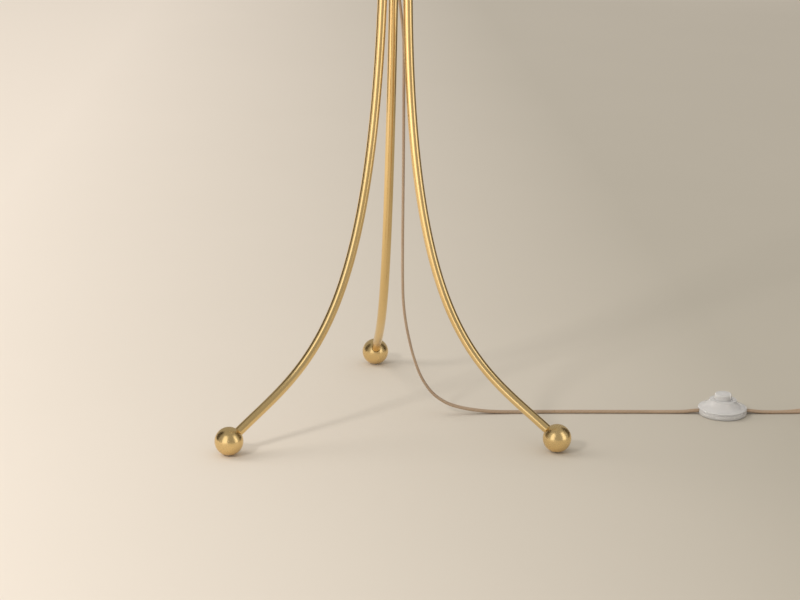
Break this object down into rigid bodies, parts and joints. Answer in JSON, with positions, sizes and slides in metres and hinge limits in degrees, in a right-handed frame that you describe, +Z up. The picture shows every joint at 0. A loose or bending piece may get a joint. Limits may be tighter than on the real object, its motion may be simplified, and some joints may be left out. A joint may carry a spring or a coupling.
{
  "type": "tripod floor lamp",
  "caption": "Tripod floor lamp: flared brass rod legs on ball feet, turned hub and stem, harp with a fabric drum shade, and a mains cord with a step-on foot switch.",
  "frame": {"origin": "on the floor, under the middle of the lamp's box without its cord; the lamp's own axis is 17.5 mm towards -Y", "axes": "+Z up along the stem; one foot points towards +Y and the other two towards -Y and either side; the cord leaves along the floor towards +X"},
  "size_m": [0.8608, 0.465, 1.5013],
  "materials": {
    "brass": "satin-polished, clear lacquered",
    "raw_brass": "plain unlacquered",
    "steel": "zinc plated",
    "clear_plastic": "clear, slightly cloudy, moulded",
    "white_plastic": "moulded",
    "black_plastic": "moulded",
    "cord": "translucent brown-gold vinyl",
    "paper_liner": "fibre board",
    "bulb_glass": "frosted",
    "shade_fabric": "plain linen weave over a stiff liner"
  },
  "bodies": {
    "stand": {"leg_rod_back": "brass", "leg_rod_left": "brass", "leg_rod_right": "brass", "ball_foot_back": "brass", "ball_foot_left": "brass", "ball_foot_right": "brass", "hub_body": "brass", "stem_lower": "brass", "stem_upper": "brass", "stem_coupler": "brass", "neck_cap": "brass", "harp_saddle": "brass", "harp": "brass", "socket_cap": "brass", "socket_shell": "brass", "screw_shell": "raw_brass", "centre_contact": "raw_brass", "plug_blade_left": "raw_brass", "plug_blade_right": "raw_brass", "switch_contact_left": "raw_brass", "switch_contact_right": "raw_brass", "foot_stud_back": "steel", "foot_stud_left": "steel", "foot_stud_right": "steel", "hub_grub_screw_back": "steel", "hub_grub_screw_left": "steel", "hub_grub_screw_right": "steel", "hub_nipple": "steel", "coupler_nipple": "steel", "neck_nipple": "steel", "switch_spring": "steel", "switch_screw_front": "steel", "switch_screw_back": "steel", "foot_pad_back": "clear_plastic", "foot_pad_left": "clear_plastic", "foot_pad_right": "clear_plastic", "switch_base": "clear_plastic", "switch_cover": "clear_plastic", "switch_frame": "white_plastic", "cord_bushing": "black_plastic", "socket_core": "black_plastic", "coil_tie_near": "black_plastic", "coil_tie_far": "black_plastic", "stem_cord": "cord", "cord_drop": "cord", "cord_tail": "cord", "cord_end": "cord", "cord_coil": "cord", "plug_body": "cord", "socket_liner": "paper_liner"},
    "switch_press_button": {"switch_button": "clear_plastic", "switch_contact_washer": "raw_brass"},
    "shade": {"shade_skin": "shade_fabric", "shade_spider": "brass", "shade_bottom_ring": "brass"},
    "finial": {"finial": "brass"},
    "bulb": {"bulb_base": "steel", "bulb_glass": "bulb_glass"},
    "harp_sleeve_left": {"harp_sleeve_left": "brass"},
    "harp_sleeve_right": {"harp_sleeve_right": "brass"}
  },
  "joints": [
    {"name": "switch_press", "type": "slide", "parent": "stand", "child": "switch_press_button", "axis": [0, 0, -1], "range_m": [0, 0.004], "stiffness_N_per_m": 1500, "springref_m": -0.001, "deforming": ["switch_spring"]},
    {"name": "shade_turn", "type": "hinge", "parent": "stand", "child": "shade", "pos_m": [0, -0.0175, 1.47], "axis": [0, 0, 1], "continuous": true},
    {"name": "finial_turn", "type": "hinge", "parent": "shade", "child": "finial", "pos_m": [0, -0.0175, 1.48], "axis": [0, 0, 1], "continuous": true},
    {"name": "bulb_turn", "type": "hinge", "parent": "stand", "child": "bulb", "pos_m": [0, -0.0175, 1.3], "axis": [0, 0, 1], "continuous": true},
    {"name": "harp_sleeve_left_lift", "type": "slide", "parent": "stand", "child": "harp_sleeve_left", "axis": [0, 0, 1], "range_m": [0, 0.012]},
    {"name": "harp_sleeve_right_lift", "type": "slide", "parent": "stand", "child": "harp_sleeve_right", "axis": [0, 0, 1], "range_m": [0, 0.012]}
  ]
}
